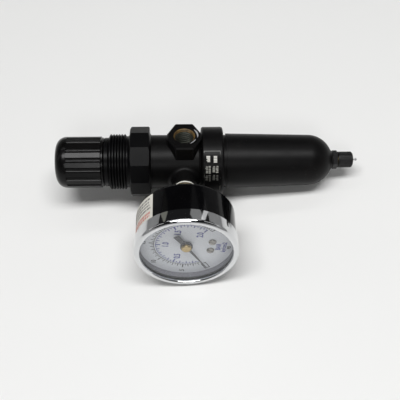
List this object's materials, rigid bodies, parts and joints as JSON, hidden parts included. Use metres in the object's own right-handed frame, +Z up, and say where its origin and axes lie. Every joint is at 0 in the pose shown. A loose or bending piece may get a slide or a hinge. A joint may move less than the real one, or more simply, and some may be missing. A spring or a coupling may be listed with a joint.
{
  "type": "air pressure regulator",
  "caption": "Miniature compressed-air filter-regulator with locking knob, panel thread, pipe ports, dial gauge, metal filter bowl and automatic drain.",
  "frame": {"origin": "middle of the part's box at the bench it lies on", "axes": "+X from the knob towards the drain, -Y the way the gauge faces, +Z up off the bench, lying as it rests on its lower port block, its collar and the gauge rim"},
  "size_m": [0.1648, 0.085, 0.0531],
  "materials": {
    "knob_plastic": "glossy moulded black",
    "bonnet_plastic": "satin moulded black",
    "body_paint": "satin black paint on die casting",
    "bowl_paint": "satin black paint on drawn metal",
    "brass": "machined",
    "steel": "turned",
    "spring_steel": "drawn wire",
    "aluminium": "pressed",
    "rubber": "moulded",
    "white_plastic": "moulded",
    "black_plastic": "moulded",
    "filter_media": "sintered, porous",
    "case_paint": "gloss black enamel on steel",
    "chrome": "polished plate",
    "window": "clear acrylic",
    "dial_paint": "white enamel with printed scale",
    "pointer_paint": "dark enamel",
    "label_print": "printed film",
    "sticker_paper": "coated paper",
    "seal_tape": "PTFE tape"
  },
  "bodies": {
    "regulator": {"bonnet": "bonnet_plastic", "screw_clip": "spring_steel", "thrust_washer": "white_plastic", "regulating_spring": "spring_steel", "diaphragm": "rubber", "body": "body_paint", "gauge_port_plug": "steel", "rating_label": "label_print", "valve_seat": "brass", "valve_spring": "spring_steel", "valve_guide": "brass", "bowl": "bowl_paint", "bowl_oring": "rubber", "deflector": "black_plastic", "filter_element": "filter_media", "filter_gasket": "rubber", "filter_post": "brass", "baffle": "black_plastic", "drain_body": "brass", "drain_oring": "rubber", "drain_lock_nut": "black_plastic", "drain_nut": "black_plastic", "drain_spring": "spring_steel", "gauge_stem": "brass", "stem_tape": "seal_tape", "gauge_case": "case_paint", "case_screws": "steel", "gauge_bezel": "chrome", "gauge_window": "window", "window_gasket": "rubber", "dial_ring": "dial_paint", "gauge_dial": "dial_paint", "dial_screws": "steel", "movement_plates": "brass", "movement_pillars": "brass", "bourdon_tube": "brass", "hairspring": "spring_steel", "gauge_sticker": "sticker_paper"},
    "screw": {"adjusting_screw": "steel"},
    "knob": {"adjusting_knob": "knob_plastic"},
    "nut": {"spring_nut": "brass"},
    "valve": {"diaphragm_plate": "aluminium", "diaphragm_button": "brass", "valve_stem": "steel", "valve_poppet": "brass", "poppet_seal": "rubber"},
    "pointer": {"gauge_pointer": "pointer_paint", "pointer_hub": "brass", "pinion_arbor": "brass"},
    "sector": {"sector_gear": "brass", "sector_arbor": "steel"},
    "link": {"movement_link": "brass"},
    "float": {"drain_float": "white_plastic"},
    "push_pin": {"drain_pin": "steel"}
  },
  "joints": [
    {"name": "screw_turn", "type": "hinge", "parent": "regulator", "child": "screw", "pos_m": [-0.05252, 0.02394, 0.02472], "axis": [0.9959, 0, -0.0906], "range_deg": [0, 1800]},
    {"name": "knob_pull", "type": "slide", "parent": "screw", "child": "knob", "axis": [-0.9959, 0, 0.0906], "range_m": [0, 0.0025]},
    {"name": "nut_feed", "type": "slide", "parent": "regulator", "child": "nut", "axis": [0.9959, 0, -0.0906], "range_m": [0, 0.00625], "deforming": ["regulating_spring"]},
    {"name": "valve_lift", "type": "slide", "parent": "regulator", "child": "valve", "axis": [0.9959, 0, -0.0906], "range_m": [0, 0.0008], "stiffness_N_per_m": 900, "deforming": ["valve_spring", "diaphragm", "regulating_spring"]},
    {"name": "pointer_turn", "type": "hinge", "parent": "regulator", "child": "pointer", "pos_m": [-0.01195, -0.03547, 0.02693], "axis": [-0.0089, 0.9951, -0.098], "range_deg": [0, 270], "stiffness_Nm_per_rad": 0.0002, "deforming": ["hairspring"]},
    {"name": "sector_swing", "type": "hinge", "parent": "regulator", "child": "sector", "pos_m": [-0.00368, -0.02845, 0.01372], "axis": [-0.0089, 0.9951, -0.098], "range_deg": [-30, 0]},
    {"name": "link_slide", "type": "slide", "parent": "regulator", "child": "link", "axis": [0.9927, -0.0029, -0.1202], "range_m": [0, 0.00219], "deforming": ["bourdon_tube"]},
    {"name": "float_lift", "type": "slide", "parent": "regulator", "child": "float", "axis": [-0.9959, 0, 0.0906], "range_m": [0, 0.004]},
    {"name": "drain_push", "type": "slide", "parent": "regulator", "child": "push_pin", "axis": [-0.9959, 0, 0.0906], "range_m": [0, 0.0016], "stiffness_N_per_m": 300, "deforming": ["drain_spring"]}
  ],
  "couplings": [
    {"joint": "nut_feed", "follows": "screw_turn", "m_per_rad": 0.00019894},
    {"joint": "sector_swing", "follows": "pointer_turn", "ratio": -0.11111},
    {"joint": "link_slide", "follows": "pointer_turn", "m_per_rad": 0.00046552}
  ]
}
